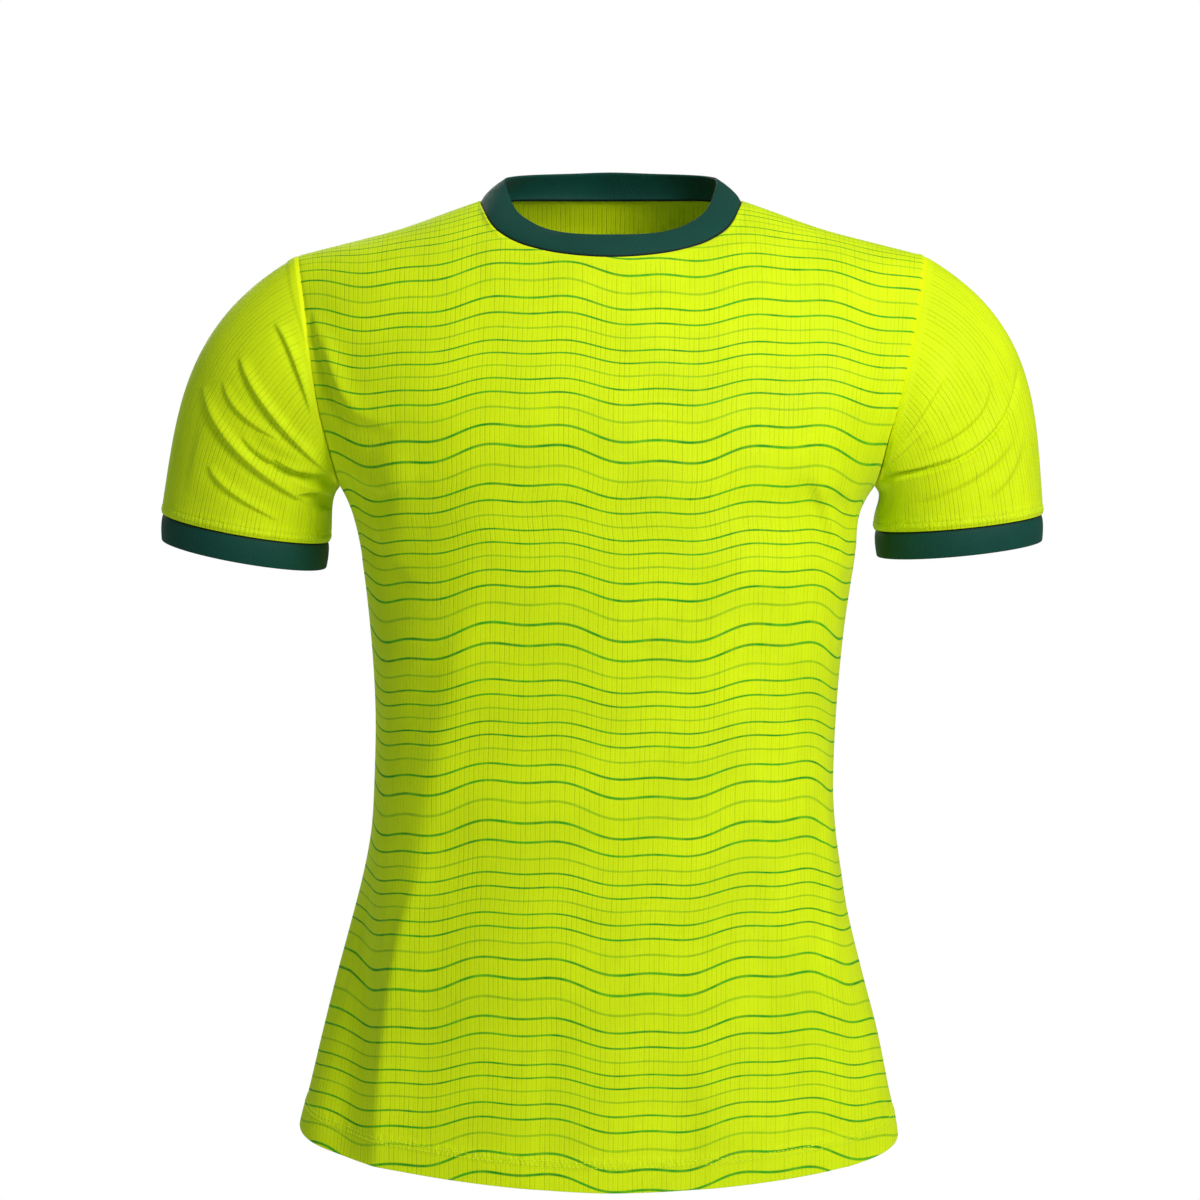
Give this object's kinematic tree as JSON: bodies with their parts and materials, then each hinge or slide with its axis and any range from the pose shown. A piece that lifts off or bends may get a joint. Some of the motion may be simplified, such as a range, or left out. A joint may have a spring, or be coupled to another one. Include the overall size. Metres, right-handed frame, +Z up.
{
  "type": "football jersey",
  "caption": "Short-sleeved crew-neck football jersey in its hollow worn form, with open neck, hem, cuffs and armholes and contrast rib bands.",
  "frame": {"origin": "midway between the high points of the two shoulders, where the wearer holds the jersey up", "axes": "+Z up, -Y out of the front of the jersey, +X towards the wearer's left sleeve"},
  "size_m": [0.6398, 0.2508, 0.7249],
  "materials": {
    "printed_knit": "matt fine-ribbed knit with thin green printed lines",
    "plain_knit": "matt fine-ribbed knit",
    "rib_band": "matt dense rib"
  },
  "bodies": {
    "root": {"front": "printed_knit", "back": "plain_knit", "sleeve_right": "plain_knit", "sleeve_left": "plain_knit", "collar": "rib_band", "cuff_right": "rib_band", "cuff_left": "rib_band"}
  },
  "joints": []
}
